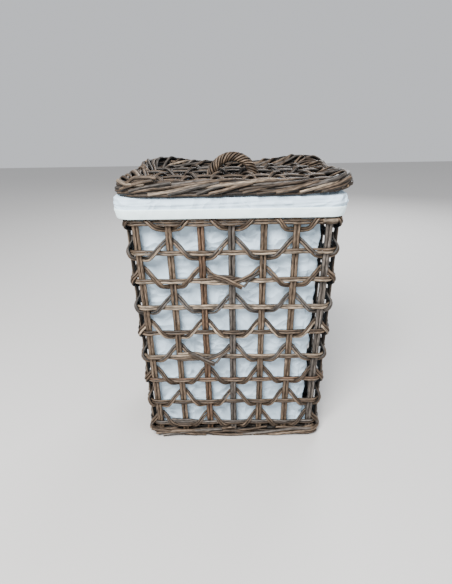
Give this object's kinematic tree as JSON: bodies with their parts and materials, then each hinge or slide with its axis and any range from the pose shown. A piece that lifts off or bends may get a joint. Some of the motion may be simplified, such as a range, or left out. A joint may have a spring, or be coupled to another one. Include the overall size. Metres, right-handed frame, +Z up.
{
  "type": "laundry basket",
  "caption": "Tall tapered rectangular laundry basket of open paired-cane weave with a folded-over cotton liner and a loose woven lid with an arched handle.",
  "frame": {"origin": "middle of the base, on the floor", "axes": "+X to the basket's right, +Y to its back, +Z up; the front, a wide wall, faces -Y"},
  "size_m": [0.4552, 0.3352, 0.6359],
  "materials": {
    "post_cane": "unpeeled grey-brown rattan cane, dry and matt, with lengthwise streaks",
    "rail_cane": "unpeeled grey-brown rattan cane, dry and matt",
    "wave_cane": "unpeeled grey-brown rattan cane, dry and matt",
    "border_rod": "thick unpeeled rattan rod, grey with tan patches",
    "frame_cane": "stout rattan cane, grey-brown",
    "lid_cane": "unpeeled grey rattan cane",
    "handle_cane": "thin rattan canes wound over a core",
    "liner_cotton": "soft white cotton, slightly creased",
    "hem_cotton": "white cotton, doubled and stitched"
  },
  "bodies": {
    "basket": {"front_posts": "post_cane", "right_posts": "post_cane", "back_posts": "post_cane", "left_posts": "post_cane", "rail_1": "rail_cane", "rail_2": "rail_cane", "rail_3": "rail_cane", "rail_4": "rail_cane", "rail_5": "rail_cane", "rail_6": "rail_cane", "rail_7": "rail_cane", "rail_8": "rail_cane", "rail_9": "rail_cane", "wave_1": "wave_cane", "wave_2": "wave_cane", "wave_3": "wave_cane", "wave_4": "wave_cane", "wave_5": "wave_cane", "wave_6": "wave_cane", "wave_7": "wave_cane", "wave_8": "wave_cane", "wave_9": "wave_cane", "rim_rods": "border_rod", "foot_rods": "border_rod", "base_frame": "frame_cane", "base_canes": "frame_cane", "base_runners": "frame_cane"},
    "liner": {"liner_walls": "liner_cotton", "liner_bottom": "liner_cotton", "liner_fold": "liner_cotton", "liner_cuff": "liner_cotton", "cuff_hem": "hem_cotton"},
    "lid": {"lid_frame": "frame_cane", "lid_border_lower": "border_rod", "lid_border_middle": "border_rod", "lid_border_upper": "border_rod", "lid_ribs": "lid_cane", "lid_rails": "lid_cane", "lid_wave_1": "wave_cane", "lid_wave_2": "wave_cane", "lid_wave_3": "wave_cane", "lid_wave_4": "wave_cane", "handle_core": "handle_cane", "handle_wrap": "handle_cane"}
  },
  "joints": [
    {"name": "liner_lift", "type": "slide", "parent": "basket", "child": "liner", "axis": [0, 0, 1], "range_m": [0, 0.58]},
    {"name": "lid_lift", "type": "slide", "parent": "liner", "child": "lid", "axis": [0, 0, 1], "range_m": [0, 0.3]}
  ]
}
